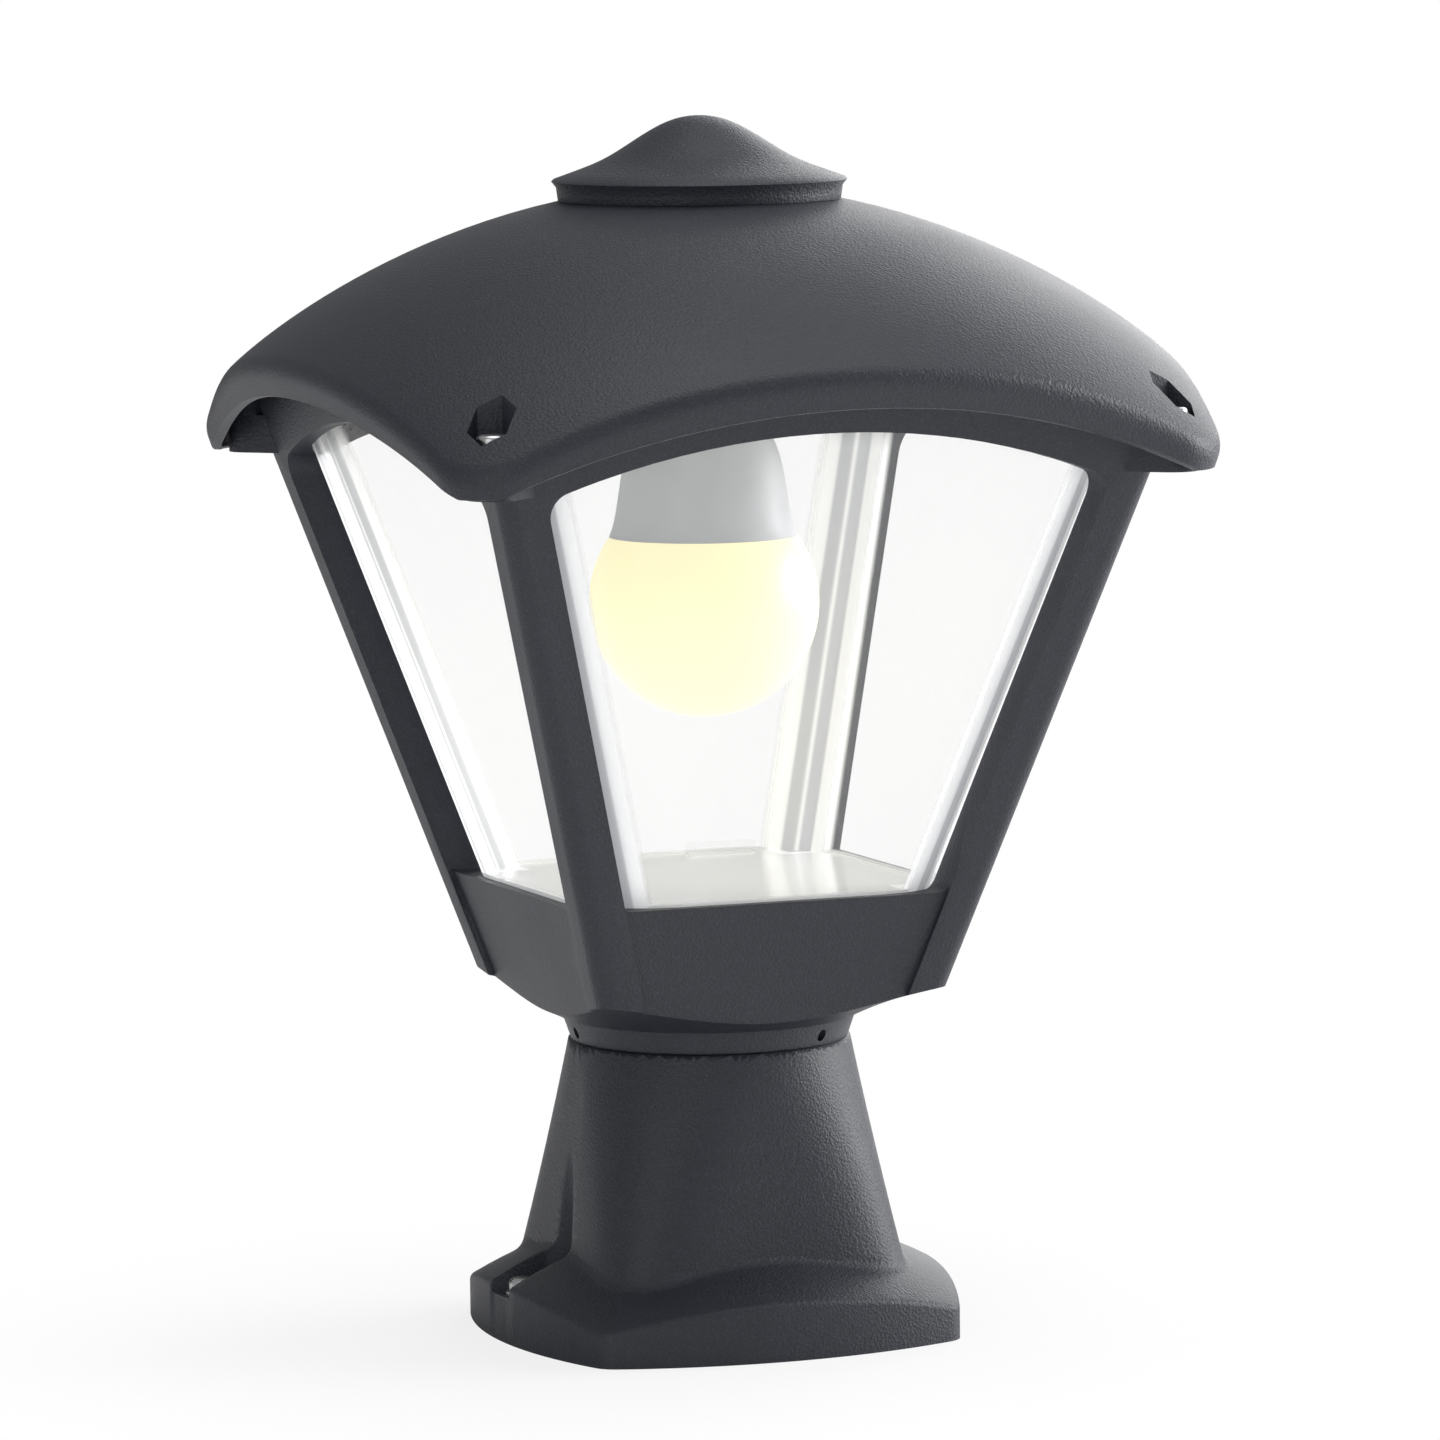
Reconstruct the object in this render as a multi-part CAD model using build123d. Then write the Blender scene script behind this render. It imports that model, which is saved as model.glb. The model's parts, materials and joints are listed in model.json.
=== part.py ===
from build123d import *
import os
from math import cos, pi, radians, sin, sqrt

# Pedestal garden lantern: a moulded foot, a four-post lantern head that turns on it,
# a domed hood that lifts off the head, and a screw-in lamp that hangs from the hood.
# Millimetres, +Z up, the origin at the centre of the foot's underside.
# The four faces of the lantern look along +X, -X, +Y and -Y.

os.makedirs("parts", exist_ok=True)

# ---- driving dimensions ------------------------------------------------------------
wall = 3.0                # walls of the moulded pieces
fit_gap = 0.3             # gap between pieces on different bodies
seat_gap = 0.1            # gap where a piece rests in its seat
run_clearance = 0.05      # radial clearance of a turning fit

# foot plate
foot_half = 59.45         # centre to the middle of a side
foot_bulge = 9.9          # how far a side's middle stands out past its corners
foot_corner = 7.9
foot_corner_height = 10.5
shoulder_radius = 125.0   # the sphere that rounds the plate's top
foot_edge = 2.0

# column
column_foot_z = 16.0
column_foot_half = 41.9
column_foot_corner = 11.5
column_mid_z = 45.0
column_mid_half = 39.3
column_mid_corner = 24.0
column_top_z = 76.5
column_top_radius = 36.9
column_root_fillet = 5.0

# ground fixings, one each side on the X axis
fixing_pitch = 106.0
fixing_slot_width = 13.0
fixing_groove_x = 38.9    # how near the axis the driver groove reaches
fixing_floor_z = 12.0
fixing_hole_radius = 2.6
fixing_boss_radius = 5.6

# neck
spigot_radius = 31.5
spigot_wall = 4.5
spigot_top_z = 88.0
spigot_deck = 3.0
spigot_groove_z = 79.5
spigot_groove_half = 2.2
spigot_groove_depth = 1.1
collar_low_radius = 36.3
collar_high_radius = 38.3
collar_high_z = 82.6
set_screw_radius = 1.5
set_screw_angles = (180, 60, -60)
seal_thickness = 0.7
seal_outer_radius = 34.9

# lantern head: the outer faces lean out as half(z) = head_half_at_zero + head_lean * z
head_half_at_zero = 20.55
head_lean = 0.3013
post_corner = 5.0
belt_recess = 1.6         # how far the belt and the panels lie behind the posts
head_floor_z = 94.0
head_top_z = 250.0
hood_headroom = 1.5       # between the posts' tops and the hood's inside
cup_ledge_z = 115.5
cup_ledge = 2.4
window_sill_z = 118.0
window_sill_half = 44.5
window_spring_z = 226.0
window_spring_half = 76.5
window_peak_z = 240.6
window_low_corner = 3.0
window_high_corner = 6.0
wire_hole_radius = 14.0
ear_low_z = 227.5
ear_seat_z = 237.5
ear_radius = 6.6
insert_radius = 3.2

# hood
hood_tip_radius = 140.6   # centre to a corner tip
hood_tip_z = 236.3
hood_crown_z = 299.1
dome_bowl = 0.905          # share of the dome's fall that goes with the square of the reach
dome_flat_share = 0.2     # the crown is flat within this share of the reach
dome_rim_share = 1.1      # the bowl runs on to here and is cut by the fascia
hood_wall = 2.8
hood_low_z = 228.0
hood_plan_half = 117.3    # centre to the middle of a side, at the upper arris
hood_plan_bulge = 7.3
hood_plan_corner = 15.5
hood_plan_z = 255.0
fascia_lean = 0.47        # how far the fascia leans in for each unit down, mid-side
tip_lean = 0.235          # the same at the corners
arch_peak_z = 247.8
arch_radius = 238.0
well_pitch_radius = 130.0
well_across_flats = 10.75
well_wall = 1.6
well_floor = 2.5
hood_screw_radius = 1.95
washer_thickness = 0.8
pillar_offset = 60.0
pillar_radius = 4.0

# finial
finial_top_z = 317.1
finial_rim_radius = 38.4
finial_rim_z = 300.4
finial_foot_radius = 36.7
finial_wall = 2.5
crown_boss_z = 287.0
stud_radius = 2.5

# diffuser cup
cup_gap = 0.4
cup_wall = 2.2
cup_floor = 2.6
cup_top_z = 246.0
cup_outer_corner = 24.0
cup_inner_corner = 21.8
tab_x = 21.0              # centre of the location tab on the cup's floor
tab_length = 19.0
tab_thickness = 3.5

# gear tray and lampholder
tray_z = 247.2
tray_thickness = 2.0
tray_half = 89.5
tray_corner = 24.0
tray_seal_width = 3.5
tray_screw_radius = 1.75
holder_radius = 19.5
holder_low_z = 244.0
holder_flange_radius = 25.0
holder_top_z = 277.5
holder_ring_radius = 27.0
sleeve_thickness = 0.6
contact_thickness = 0.6

# lamp: E27 cap, 60 mm bulb
lamp_radius = 30.0
lamp_centre_z = 190.6
lamp_joint_z = 207.8
lamp_neck_z = 230.0
lamp_neck_radius = 19.7
cap_radius = 13.0
cap_low_z = 243.5
cap_high_z = 264.0
cap_clearance = 0.35
tip_radius = 4.5
tip_top_z = 268.6
globe_wall = 1.2
board_thickness = 1.6

# cable gland
gland_hole_radius = 8.1
gland_thread_radius = 8.0
gland_hex_radius = 11.5
gland_bore_radius = 6.5
cable_bore_radius = 4.5

# terminal block
terminal_screw_radius = 1.6
terminal_pitch = 12.0
terminal_ways = 3
terminal_low_y = 18.5
terminal_high_y = 34.5
terminal_rows = (22.5, 30.5)

# sizes that follow from the ones above
plug_gap = 0.02           # radial gap of a piece pushed or screwed into another
far = 160.0               # beyond the outside of every piece
fixing_x = fixing_pitch / 2
hex_reach = well_across_flats / sqrt(3)
sleeve_bore = cap_radius + cap_clearance
sleeve_outer = sleeve_bore + sleeve_thickness
sleeve_top_z = tip_top_z + 2.0
joint_radius = sqrt(lamp_radius**2 - (lamp_joint_z - lamp_centre_z) ** 2)
terminal_low_z = head_floor_z + seat_gap / 2


# ---- helpers -----------------------------------------------------------------------
def save(shape, name):
    solids = shape.solids()
    export_step(Compound(children=list(solids)) if len(solids) > 1 else solids[0], f"parts/{name}.step")


def cylinder(radius, low, high, x=0.0, y=0.0):
    return Pos(x, y, low) * Cylinder(radius, high - low, align=(Align.CENTER, Align.CENTER, Align.MIN))


def tube(outer, inner, low, high, x=0.0, y=0.0):
    return cylinder(outer, low, high, x, y) - cylinder(inner, low - 1, high + 1, x, y)


def block(x_low, x_high, y_low, y_high, z_low, z_high):
    size = (x_high - x_low, y_high - y_low, z_high - z_low)
    return Pos(x_low, y_low, z_low) * Box(*size, align=(Align.MIN, Align.MIN, Align.MIN))


def rounded_square(half, corner, z):
    return Plane.XY.offset(z) * RectangleRounded(2 * half, 2 * half, corner)


def bulged_square(half, bulge, corner, z):
    """Square whose sides are arcs that stand out by bulge at their middle."""
    c = half - bulge
    sides = [
        ThreePointArc((c, -c), (half, 0), (c, c)),
        ThreePointArc((c, c), (0, half), (-c, c)),
        ThreePointArc((-c, c), (-half, 0), (-c, -c)),
        ThreePointArc((-c, -c), (0, -half), (c, -c)),
    ]
    face = make_face(sides)
    return Plane.XY.offset(z) * fillet(face.vertices(), corner)


def spun(*edges):
    """Solid of revolution about Z from an outline drawn in the XZ plane."""
    return revolve(Plane.XZ * make_face(list(edges)), Axis.Z)


def spun_polygon(*points):
    return revolve(Plane.XZ * make_face(Polyline(*points, close=True)), Axis.Z)


def at_corners(radius, angles=(45, 135, 225, 315)):
    return [(radius * cos(radians(a)), radius * sin(radians(a)), a) for a in angles]


def group(shapes):
    return Compound(children=[solid for shape in shapes for solid in shape.solids()])


def pan_screw(head_radius, head_height, shank_radius, seat_z, tip_z, x=0.0, y=0.0):
    """Screw whose head stands above seat_z and whose shank points down to tip_z."""
    head = cylinder(head_radius, seat_z, seat_z + head_height, x, y)
    head = fillet(head.faces().sort_by(Axis.Z)[-1].edges(), head_height * 0.45)
    top = seat_z + head_height
    slot = block(x - head_radius, x + head_radius, y - 0.5, y + 0.5, top - 1.0, top)
    return head + cylinder(shank_radius, tip_z, seat_z, x, y) - slot


def head_half(z):
    return head_half_at_zero + head_lean * z


def leaning_square(inset, corner, low, high):
    """Block whose four faces run parallel to the head's faces, inset from them."""
    low_face = rounded_square(head_half(low) - inset, corner, low)
    high_face = rounded_square(head_half(high) - inset, corner, high)
    return loft([low_face, high_face], ruled=True)


# ---- foot and column ---------------------------------------------------------------
def shoulder_centre_z():
    """Height of the shoulder sphere's centre, so that it passes through the top of the corners."""
    c = foot_half - foot_bulge
    corner_reach = c * sqrt(2) - foot_corner * (sqrt(2) - 1)
    return foot_corner_height - sqrt(shoulder_radius**2 - corner_reach**2)


def shoulder_sphere(inset):
    return Pos(0, 0, shoulder_centre_z()) * Sphere(shoulder_radius - inset)


def foot_plate(inset, low):
    plan = bulged_square(foot_half - inset, foot_bulge, foot_corner - inset, low)
    return extrude(plan, shoulder_radius + shoulder_centre_z() - low + 1) & shoulder_sphere(inset)


def column(inset):
    top_corner = column_top_radius - 0.2
    sections = [
        rounded_square(column_foot_half - inset, column_foot_corner - inset, column_foot_z),
        rounded_square(column_mid_half - inset, column_mid_corner - inset, column_mid_z),
        rounded_square(column_top_radius - inset, top_corner - inset, column_top_z - inset),
    ]
    return loft(sections)


def fixing_slot(side, grow, floor_z):
    """Slot and driver groove, open at the top and at the plate's side."""
    half = fixing_slot_width / 2 + grow
    round_x = fixing_groove_x + fixing_slot_width / 2
    end = cylinder(half, floor_z, column_top_z + 1, side * round_x)
    near, outside = sorted((side * round_x, side * far))
    return end + block(near, outside, -half, half, floor_z, column_top_z + 1)


def make_pedestal():
    body = foot_plate(0, 0)
    rim = body.edges().filter_by(lambda e: e.center().Z > foot_corner_height - 2).filter_by(
        lambda e: abs(e.center().X) > foot_half * 0.7 or abs(e.center().Y) > foot_half * 0.7)
    body = fillet(rim, foot_edge)
    body = body + column(0)
    root_reach = column_foot_half * sqrt(2)
    root_z = shoulder_centre_z() + sqrt(shoulder_radius**2 - column_mid_half**2)
    root = body.edges().filter_by(lambda e: column_foot_z < e.center().Z < root_z + 2).filter_by(
        lambda e: column_mid_half - 2 < Vector(e.center().X, e.center().Y, 0).length < root_reach)
    body = fillet(root, column_root_fillet)
    cavity = foot_plate(wall, -1) + column(wall)
    for side in (-1, 1):
        body = body - fixing_slot(side, 0, fixing_floor_z)
        cavity = cavity - fixing_slot(side, wall - 0.4, fixing_floor_z - wall)
        cavity = cavity - cylinder(fixing_boss_radius, -2, fixing_floor_z, side * fixing_x)
    body = body - cavity
    body = body + tube(spigot_radius, spigot_radius - spigot_wall, column_top_z - wall - 1, spigot_top_z)
    body = body + cylinder(spigot_radius - 1, spigot_top_z - spigot_deck, spigot_top_z)
    bore = cylinder(spigot_radius - spigot_wall, column_top_z - wall - 4, spigot_top_z - spigot_deck)
    body = body - bore - cylinder(gland_hole_radius, 60, spigot_top_z + 1)
    groove_low = spigot_groove_z - spigot_groove_half
    groove_high = spigot_groove_z + spigot_groove_half
    body = body - tube(spigot_radius + 0.5, spigot_radius - spigot_groove_depth, groove_low, groove_high)
    for side in (-1, 1):
        body = body - cylinder(fixing_hole_radius, -1, fixing_floor_z + 1, side * fixing_x)
    return body


# ---- lantern head ------------------------------------------------------------------
def dome_level(share, crown):
    """Height of the dome at a share of its reach: a bowl that turns down faster at its rim."""
    fall = dome_bowl * share**2 + (1 - dome_bowl) * share**8
    return crown - (crown - hood_tip_z) * fall


def level_point(reach, share, angle, z):
    """Point of a closed superellipse, round near the crown and squarer towards the rim."""
    power = 2 + 0.1 * share**2 + 1.5 * min(share, 1.0) ** 24
    span = (abs(cos(angle)) ** power + abs(sin(angle)) ** power) ** (1 / power)
    scale = reach * share / 2 ** (0.5 - 1 / power)
    return Vector(scale * cos(angle) / span, scale * sin(angle) / span, z)


def dome(inset):
    """Solid under the hood's dome, running on below the tips as far as its rim share."""
    reach = hood_tip_radius - inset
    crown = hood_crown_z - inset
    steps = 24
    turns = [2 * pi * i / 64 for i in range(65)]
    shares = [dome_rim_share + (dome_flat_share - dome_rim_share) * i / steps for i in range(steps + 1)]
    rows = [[level_point(reach, share, turn, dome_level(share, crown)) for turn in turns] for share in shares]
    skin = Face.make_surface_from_array_of_points(rows, tol=0.01, min_deg=3, max_deg=5)
    rims = [edge for edge in skin.edges() if edge.bounding_box().size.Z < 0.01]
    return Solid(Shell([skin] + [Face(Wire([rim])) for rim in rims]))


def window_outline():
    """Window in the XZ plane: a sill, two leaning sides and an arched top."""
    sill = Line((-window_sill_half, window_sill_z), (window_sill_half, window_sill_z))
    right = Line((window_sill_half, window_sill_z), (window_spring_half, window_spring_z))
    top = ThreePointArc((window_spring_half, window_spring_z), (0, window_peak_z),
                        (-window_spring_half, window_spring_z))
    left = Line((-window_spring_half, window_spring_z), (-window_sill_half, window_sill_z))
    face = make_face([sill, right, top, left])
    low = face.vertices().filter_by(lambda v: v.Y < window_sill_z + 1)
    face = fillet(low, window_low_corner)
    high = face.vertices().filter_by(lambda v: abs(abs(v.X) - window_spring_half) < 0.01)
    return fillet(high, window_high_corner)


def belt_recess_prism():
    lean = (window_spring_half - window_sill_half) / (window_spring_z - window_sill_z)
    low_z = 78.0
    high_z = window_sill_z + 4
    low = window_sill_half - lean * (window_sill_z - low_z)
    high = window_sill_half + lean * (high_z - window_sill_z)
    outline = Polyline((-low, low_z), (low, low_z), (high, high_z), (-high, high_z), close=True)
    return extrude(Plane.XZ * make_face(outline), far, both=True)


def make_head():
    under = spun(
        Line((0, column_top_z + fit_gap), (collar_low_radius, column_top_z + fit_gap)),
        Line((collar_low_radius, column_top_z + fit_gap), (collar_high_radius, collar_high_z)),
        ThreePointArc((collar_high_radius, collar_high_z), (50, 87.6), (75, 94.0)),
        Line((75, 94.0), (150, 110)),
        Line((150, 110), (150, head_top_z)),
        Line((150, head_top_z), (0, head_top_z)),
        Line((0, head_top_z), (0, column_top_z + fit_gap)),
    )
    body = leaning_square(0, post_corner, 70, head_top_z + 5)
    window = extrude(Plane.XZ * window_outline(), far, both=True)
    recess = belt_recess_prism()
    recess = recess + Rot(0, 0, 90) * recess
    core = leaning_square(belt_recess, post_corner, 70, head_top_z + 5)
    body = body - (recess - core)
    body = body & under
    for x, y, angle in at_corners(well_pitch_radius):
        ear = cylinder(ear_radius, ear_low_z, ear_seat_z, x, y)
        root = Pos(x * 0.94, y * 0.94, ear_low_z) * Rot(0, 0, angle) * Box(
            16, 2 * ear_radius, ear_seat_z - ear_low_z, align=(Align.CENTER, Align.CENTER, Align.MIN))
        body = body + ear + root
    room_corner = cup_outer_corner + cup_gap
    inset = belt_recess + wall
    body = body - leaning_square(inset, room_corner, cup_ledge_z, head_top_z + 5)
    body = body - leaning_square(inset + cup_ledge, room_corner - cup_ledge, head_floor_z, cup_ledge_z + 1)
    body = body - window - Rot(0, 0, 90) * window
    headroom = block(-far, far, -far, far, ear_low_z - 6, head_top_z + 20)
    body = body - (headroom - dome(hood_wall + hood_headroom))
    for x, y, angle in at_corners(well_pitch_radius):
        body = body - cylinder(hex_reach + well_wall + 0.5, ear_seat_z, head_top_z + 10, x, y)
        body = body - cylinder(insert_radius + plug_gap, ear_low_z - 1, ear_seat_z + 1, x, y)
    body = body - cylinder(spigot_radius + run_clearance, 70, spigot_top_z + fit_gap)
    body = body - cylinder(seal_outer_radius + 0.3, 70, column_top_z + fit_gap + seal_thickness)
    body = body - cylinder(wire_hole_radius, 80, head_floor_z + 1)
    for angle in set_screw_angles:
        hole = Rot(0, 0, angle) * Pos(20, 0, spigot_groove_z) * Rot(0, 90, 0) * Cylinder(
            set_screw_radius + 0.05, 30, align=(Align.CENTER, Align.CENTER, Align.MIN))
        body = body - hole
    return body


# ---- hood --------------------------------------------------------------------------
def hood_prism(inset, low, high):
    """Tapered plan of the hood: its sides lean in towards the bottom."""
    def plan(z):
        rise = z - hood_plan_z
        half = hood_plan_half + fascia_lean * rise
        chord = hood_plan_half - hood_plan_bulge + tip_lean * rise
        return bulged_square(half - inset, half - chord, hood_plan_corner - inset, z)
    return loft([plan(low), plan(high)], ruled=True)


def arch_cutter():
    """Prism under the arched lower edge, running right through the hood."""
    half = 112.0              # the arc's half span, ending just inside the tips
    drop = arch_radius - sqrt(arch_radius**2 - half**2)
    arc = ThreePointArc((-half, arch_peak_z - drop), (0, arch_peak_z), (half, arch_peak_z - drop))
    low_z = arch_peak_z - 100
    sides = Polyline((half, arch_peak_z - drop), (half, low_z), (-half, low_z), (-half, arch_peak_z - drop))
    return extrude(Plane.XZ * make_face([arc, sides]), far, both=True)


def make_hood():
    body = dome(0) & hood_prism(0, 226, 300)
    shell = body - (dome(hood_wall) & hood_prism(hood_wall, 226, 300))
    arch = arch_cutter()
    shell = shell - arch - Rot(0, 0, 90) * arch
    shell = shell - block(-far, far, -far, far, 100, hood_low_z)
    room = dome(0.8)
    for x, y, angle in at_corners(well_pitch_radius):
        outline = Rot(0, 0, angle) * RegularPolygon(hex_reach + well_wall, 6)
        socket = Pos(x, y, ear_seat_z) * extrude(outline, 40)
        shell = shell + (socket & room)
        well = extrude(Rot(0, 0, angle) * RegularPolygon(hex_reach, 6), 60)
        shell = shell - Pos(x, y, ear_seat_z + well_floor) * well
        shell = shell - cylinder(hood_screw_radius + 0.15, 200, 300, x, y)
    for x, y, angle in at_corners(pillar_offset * sqrt(2)):
        pillar = cylinder(pillar_radius, tray_z + tray_thickness, 300, x, y) & room
        shell = shell + pillar
        shell = shell - cylinder(tray_screw_radius + plug_gap, tray_z, tray_z + 16, x, y)
    crown = cylinder(9, crown_boss_z, hood_crown_z + 4) & room
    shell = shell + crown - cylinder(stud_radius + 0.05, 200, 320)
    return shell


# ---- finial ------------------------------------------------------------------------
def make_finial():
    profile = Spline((0, finial_top_z), (10.7, finial_top_z - 2.7), (23.5, finial_top_z - 10.4),
                     (finial_rim_radius - 0.6, finial_rim_z + 0.6), tangents=((1, 0), (1, -0.36)))
    inner_top = finial_top_z - 2 * finial_wall
    inner_radius = finial_foot_radius - finial_wall
    foot_z = dome_level(finial_foot_radius / hood_tip_radius, hood_crown_z) + seat_gap
    inner_z = dome_level(inner_radius / hood_tip_radius, hood_crown_z) + seat_gap
    crown_z = dome_level(dome_flat_share, hood_crown_z) + seat_gap
    outline = [
        profile,
        Polyline((finial_rim_radius - 0.6, finial_rim_z + 0.6), (finial_rim_radius, finial_rim_z),
                 (finial_foot_radius + 0.5, finial_rim_z - 1.5), (finial_foot_radius, foot_z),
                 (inner_radius, inner_z), (inner_radius, finial_rim_z - 0.5),
                 (20, finial_rim_z + 4), (6, inner_top - 3), (6, crown_z), (0, crown_z), (0, finial_top_z)),
    ]
    return spun(*outline) - cylinder(stud_radius + plug_gap, 290, inner_top - 4)


# ---- diffuser cup ------------------------------------------------------------------
def make_cup():
    inset = belt_recess + wall + cup_gap
    low_z = cup_ledge_z + seat_gap
    floor_z = low_z + cup_floor
    outer = leaning_square(inset, cup_outer_corner, low_z, cup_top_z)
    hollow = leaning_square(inset + cup_wall, cup_inner_corner, floor_z, cup_top_z + 2)
    tab_y = head_half(cup_ledge_z) - inset - cup_wall - 3.0
    tab = block(tab_x - tab_length / 2, tab_x + tab_length / 2,
                tab_y - tab_thickness, tab_y, floor_z - 0.5, floor_z + tab_thickness)
    return outer - hollow + tab


# ---- gear tray ---------------------------------------------------------------------
def make_tray():
    plate = extrude(rounded_square(tray_half, tray_corner, tray_z), tray_thickness)
    plate = plate - cylinder(holder_radius + 0.2, 200, 300)
    for x, y, angle in at_corners(pillar_offset * sqrt(2)):
        plate = plate - cylinder(tray_screw_radius + 0.3, 200, 300, x, y)
    return plate


def make_tray_seal():
    ring = rounded_square(tray_half - 0.5, tray_corner - 0.5, cup_top_z + seat_gap)
    hole = rounded_square(tray_half - tray_seal_width, tray_corner, cup_top_z + seat_gap)
    return extrude(ring - hole, tray_z - cup_top_z - seat_gap)


# ---- lampholder --------------------------------------------------------------------
def make_holder_body():
    flange_z = tray_z + tray_thickness
    flange_top_z = flange_z + 3.5
    body = spun_polygon(
        (0, holder_low_z), (holder_radius, holder_low_z), (holder_radius, flange_z),
        (holder_flange_radius, flange_z), (holder_flange_radius, flange_top_z),
        (holder_radius, flange_top_z), (holder_radius - 0.5, holder_top_z - 6),
        (holder_radius - 5, holder_top_z), (0, holder_top_z))
    body = body - cylinder(sleeve_outer + plug_gap, holder_low_z - 1, sleeve_top_z)
    body = body - cylinder(holder_radius - 6.5, sleeve_top_z + 2, holder_top_z - 1.5)
    body = body - cylinder(3.0, holder_top_z - 5, holder_top_z + 1)
    for x in (-9, 9):
        body = body - cylinder(1.6, sleeve_top_z - 2, sleeve_top_z + 6, x)
    return body - cylinder(2.0, sleeve_top_z - 1, sleeve_top_z + 6)


def make_holder_ring():
    return tube(holder_ring_radius, holder_radius + plug_gap, holder_low_z + 0.5, tray_z - 0.02)


def make_holder_sleeve():
    return tube(sleeve_outer, sleeve_bore, holder_low_z + 2, sleeve_top_z - 5)


def make_holder_contact():
    """Sprung brass tongue over the lamp's tip, with a rivet through the holder."""
    low = tip_top_z + fit_gap
    thick = contact_thickness
    tongue = block(-8, 5, -3, 3, low, low + thick)
    step = block(-8, thick - 8, -3, 3, low, sleeve_top_z)
    foot = block(-8, 2, -3, 3, sleeve_top_z - thick, sleeve_top_z)
    return tongue + step + foot + cylinder(1.9, sleeve_top_z - thick, sleeve_top_z + 3)


# ---- lamp --------------------------------------------------------------------------
def globe_outline(inset):
    """Sphere cut off flat at the joint, with the given inset from its surface."""
    radius = lamp_radius - inset
    top = lamp_joint_z
    reach = sqrt(radius**2 - (top - lamp_centre_z) ** 2)
    side = (radius * cos(radians(-20)), lamp_centre_z + radius * sin(radians(-20)))
    arc = ThreePointArc((0, lamp_centre_z - radius), side, (reach, top))
    return [arc, Line((reach, top), (0, top)), Line((0, top), (0, lamp_centre_z - radius))]


def make_globe():
    return spun(*globe_outline(0)) - spun(*globe_outline(globe_wall))


def make_lamp_housing():
    low = lamp_joint_z + 0.05
    top_radius = cap_radius + 1.2
    outer = Spline((joint_radius, low), (lamp_neck_radius, lamp_neck_z), (top_radius, cap_low_z),
                   tangents=((-0.45, 1), (-0.25, 1)))
    edges = [outer, Polyline((top_radius, cap_low_z), (0, cap_low_z), (0, low), (joint_radius, low))]
    chamber = cylinder(10, low - 1, cap_low_z - 4)
    board_seat = cylinder(joint_radius - wall, low - 1, low + 2.5)
    return spun(*edges) - chamber - board_seat


def make_led_board():
    low = lamp_joint_z + 0.6
    return cylinder(joint_radius - wall - 0.05, low, low + board_thickness)


def make_lamp_insulator():
    low = cap_high_z + plug_gap
    high = tip_top_z - 1.2
    return spun_polygon((0, low), (cap_radius - 1, low), (tip_radius + 1.2, high), (0, high))


# ---- cable gland -------------------------------------------------------------------
def make_gland_body():
    deck = spigot_top_z
    flange = Pos(0, 0, deck) * extrude(RegularPolygon(gland_hex_radius, 6), 5)
    nose = cylinder(gland_hex_radius - 2.2, deck, deck + 9)
    body = flange + fillet(nose.faces().sort_by(Axis.Z)[-1].edges(), 2)
    body = body + cylinder(gland_thread_radius, deck - 14, deck)
    return body - cylinder(gland_bore_radius, deck - 20, deck + 20)


def make_gland_nut():
    top = spigot_top_z - spigot_deck
    nut = Pos(0, 0, top - 4) * extrude(RegularPolygon(gland_hex_radius, 6), 4)
    return nut - cylinder(gland_thread_radius + plug_gap, top - 10, top + 10)


def make_gland_seal():
    low = spigot_top_z - 10
    return tube(gland_bore_radius - plug_gap, cable_bore_radius, low, low + 12)


def make_neck_seal():
    return tube(seal_outer_radius, spigot_radius + 0.2, column_top_z, column_top_z + seal_thickness)


# ---- small parts -------------------------------------------------------------------
def make_set_screw(angle):
    groove_bottom = spigot_radius - spigot_groove_depth
    length = collar_low_radius - 1.2 - (groove_bottom + fit_gap)
    screw = Cylinder(set_screw_radius, length, align=(Align.CENTER, Align.CENTER, Align.MIN))
    drive = Pos(0, 0, length - 1.6) * extrude(RegularPolygon(0.85, 6), 2)
    place = Rot(0, 0, angle) * Pos(groove_bottom + fit_gap, 0, spigot_groove_z) * Rot(0, 90, 0)
    return place * (screw - drive)


def terminal_x(way):
    return (way - (terminal_ways - 1) / 2) * terminal_pitch


def make_terminal_block():
    low = terminal_low_z
    half_length = terminal_ways * terminal_pitch / 2
    body = block(-half_length, half_length, terminal_low_y, terminal_high_y, low, low + 4)
    for way in range(terminal_ways):
        x = terminal_x(way)
        body = body + block(x - 5, x + 5, terminal_low_y + 1, terminal_high_y - 1, low + 3, low + 15)
        for y in terminal_rows:
            body = body - cylinder(terminal_screw_radius + plug_gap, low + 6, low + 20, x, y)
        lead_way = Rot(90, 0, 0) * Cylinder(1.6, 30)
        body = body - Pos(x, (terminal_low_y + terminal_high_y) / 2, low + 5.5) * lead_way
    return body


def make_terminal_screw(x, y):
    low = terminal_low_z + 6.5
    slot = block(x - 2, x + 2, y - 0.3, y + 0.3, low + 6.2, low + 8)
    return cylinder(terminal_screw_radius, low, low + 7, x, y) - slot


def make_hood_screw(x, y):
    seat = ear_seat_z + well_floor + washer_thickness
    return pan_screw(4.0, 2.8, hood_screw_radius, seat, ear_low_z + 1, x, y)


def make_hood_screw_washer(x, y):
    low = ear_seat_z + well_floor
    return tube(4.6, hood_screw_radius + 0.15, low, low + washer_thickness, x, y)


def make_tray_screw(x, y):
    return Pos(x, y, tray_z) * Rot(180, 0, 0) * pan_screw(3.4, 2.2, tray_screw_radius, 0, -12)


def make_ear_insert(x, y):
    return tube(insert_radius, hood_screw_radius + 0.1, ear_low_z, ear_seat_z, x, y)


def make_ground_screw(x):
    return pan_screw(3.7, 3.4, 2.0, fixing_floor_z + washer_thickness, 0.5, x)


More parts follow.
